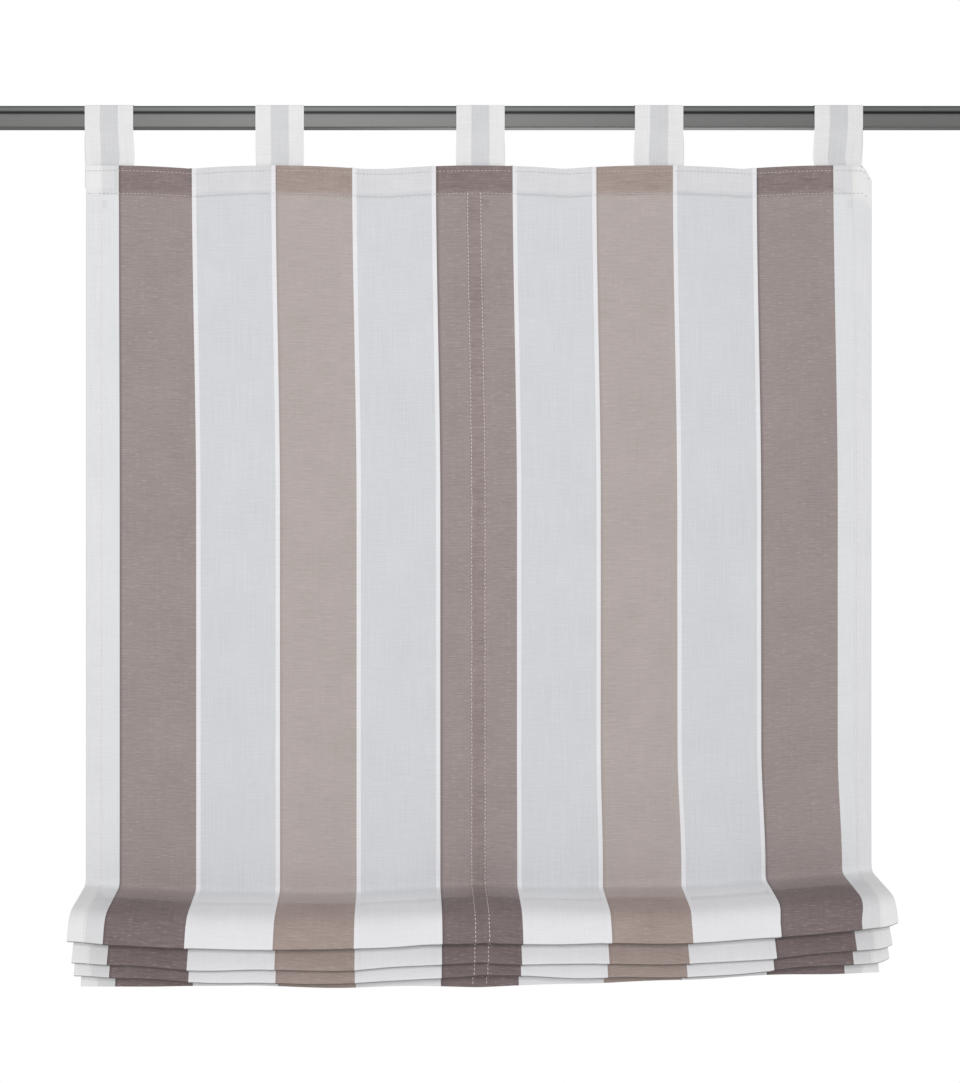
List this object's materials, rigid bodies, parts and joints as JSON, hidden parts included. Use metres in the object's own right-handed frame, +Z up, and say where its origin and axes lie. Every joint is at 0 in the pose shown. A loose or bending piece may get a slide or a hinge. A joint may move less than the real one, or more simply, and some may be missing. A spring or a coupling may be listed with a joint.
{
  "type": "roman blind",
  "caption": "Half-raised roman blind: striped half-sheer cloth on fabric tabs over a flat rail, bottom gathered in pleats.",
  "frame": {"origin": "middle of the wall fixing holes, on the wall plane at the height of the rail", "axes": "+X along the rail, +Y into the wall (the front faces -Y), +Z up"},
  "size_m": [1.095, 0.1062, 0.9021],
  "materials": {
    "rail_aluminium": "satin anodised grey",
    "cap_plastic": "matt grey",
    "bracket_metal": "satin grey",
    "screw_metal": "satin grey",
    "striped_fabric": "half-sheer woven stripes",
    "tab_fabric": "white sheer",
    "tape_fabric": "white woven",
    "ring_plastic": "clear white",
    "cord_fibre": "white braid",
    "stopper_plastic": "white",
    "plunger_plastic": "white",
    "spring_steel": "bright"
  },
  "bodies": {
    "frame": {"rail": "rail_aluminium", "rail_end_cap_left": "cap_plastic", "rail_end_cap_right": "cap_plastic", "wall_bracket_left": "bracket_metal", "wall_bracket_right": "bracket_metal", "set_screw_left": "screw_metal", "set_screw_right": "screw_metal", "striped_cloth": "striped_fabric", "tab_1": "tab_fabric", "tab_2": "tab_fabric", "tab_3": "tab_fabric", "tab_4": "tab_fabric", "tab_5": "tab_fabric", "ring_tape_left": "tape_fabric", "header_ring_left": "ring_plastic", "lift_cord_left": "cord_fibre", "stopper_barrel_left": "stopper_plastic", "stopper_spring_left": "spring_steel", "ring_tape_centre": "tape_fabric", "header_ring_centre": "ring_plastic", "lift_cord_centre": "cord_fibre", "stopper_barrel_centre": "stopper_plastic", "stopper_spring_centre": "spring_steel", "ring_tape_right": "tape_fabric", "header_ring_right": "ring_plastic", "lift_cord_right": "cord_fibre", "stopper_barrel_right": "stopper_plastic", "stopper_spring_right": "spring_steel"},
    "row_1": {"ring_left_1": "ring_plastic", "ring_centre_1": "ring_plastic", "ring_right_1": "ring_plastic"},
    "row_2": {"ring_left_2": "ring_plastic", "ring_centre_2": "ring_plastic", "ring_right_2": "ring_plastic"},
    "row_3": {"ring_left_3": "ring_plastic", "ring_centre_3": "ring_plastic", "ring_right_3": "ring_plastic"},
    "row_4": {"ring_left_4": "ring_plastic", "ring_centre_4": "ring_plastic", "ring_right_4": "ring_plastic"},
    "stack": {"stack_ring_left_1": "ring_plastic", "stack_ring_left_2": "ring_plastic", "stack_ring_left_3": "ring_plastic", "stack_ring_left_4": "ring_plastic", "stack_ring_centre_1": "ring_plastic", "stack_ring_centre_2": "ring_plastic", "stack_ring_centre_3": "ring_plastic", "stack_ring_centre_4": "ring_plastic", "stack_ring_right_1": "ring_plastic", "stack_ring_right_2": "ring_plastic", "stack_ring_right_3": "ring_plastic", "stack_ring_right_4": "ring_plastic"},
    "plunger_left": {"stopper_plunger_left": "plunger_plastic"},
    "plunger_centre": {"stopper_plunger_centre": "plunger_plastic"},
    "plunger_right": {"stopper_plunger_right": "plunger_plastic"}
  },
  "joints": [
    {"name": "lift", "type": "slide", "parent": "frame", "child": "stack", "axis": [0, 0, 1], "range_m": [-0.43, 0.43], "deforming": ["striped_cloth", "ring_tape_left", "ring_tape_centre", "ring_tape_right", "lift_cord_left", "lift_cord_centre", "lift_cord_right"]},
    {"name": "row_1_lift", "type": "slide", "parent": "frame", "child": "row_1", "axis": [0, 0, 1], "range_m": [-0.01782, 0.01782]},
    {"name": "row_2_lift", "type": "slide", "parent": "frame", "child": "row_2", "axis": [0, 0, 1], "range_m": [-0.12015, 0.12015]},
    {"name": "row_3_lift", "type": "slide", "parent": "frame", "child": "row_3", "axis": [0, 0, 1], "range_m": [-0.26289, 0.26289]},
    {"name": "row_4_lift", "type": "slide", "parent": "frame", "child": "row_4", "axis": [0, 0, 1], "range_m": [-0.38603, 0.38603]},
    {"name": "press_stopper_left", "type": "slide", "parent": "frame", "child": "plunger_left", "axis": [-1, 0, 0], "range_m": [0, 0.0018], "stiffness_N_per_m": 600, "springref_m": -0.005, "deforming": ["stopper_spring_left"]},
    {"name": "press_stopper_centre", "type": "slide", "parent": "frame", "child": "plunger_centre", "axis": [-1, 0, 0], "range_m": [0, 0.0018], "stiffness_N_per_m": 600, "springref_m": -0.005, "deforming": ["stopper_spring_centre"]},
    {"name": "press_stopper_right", "type": "slide", "parent": "frame", "child": "plunger_right", "axis": [1, 0, 0], "range_m": [0, 0.0018], "stiffness_N_per_m": 600, "springref_m": -0.005, "deforming": ["stopper_spring_right"]}
  ],
  "couplings": [
    {"joint": "row_1_lift", "follows": "lift", "ratio": 0.04028},
    {"joint": "row_2_lift", "follows": "lift", "ratio": 0.27825},
    {"joint": "row_3_lift", "follows": "lift", "ratio": 0.61022},
    {"joint": "row_4_lift", "follows": "lift", "ratio": 0.89658}
  ]
}
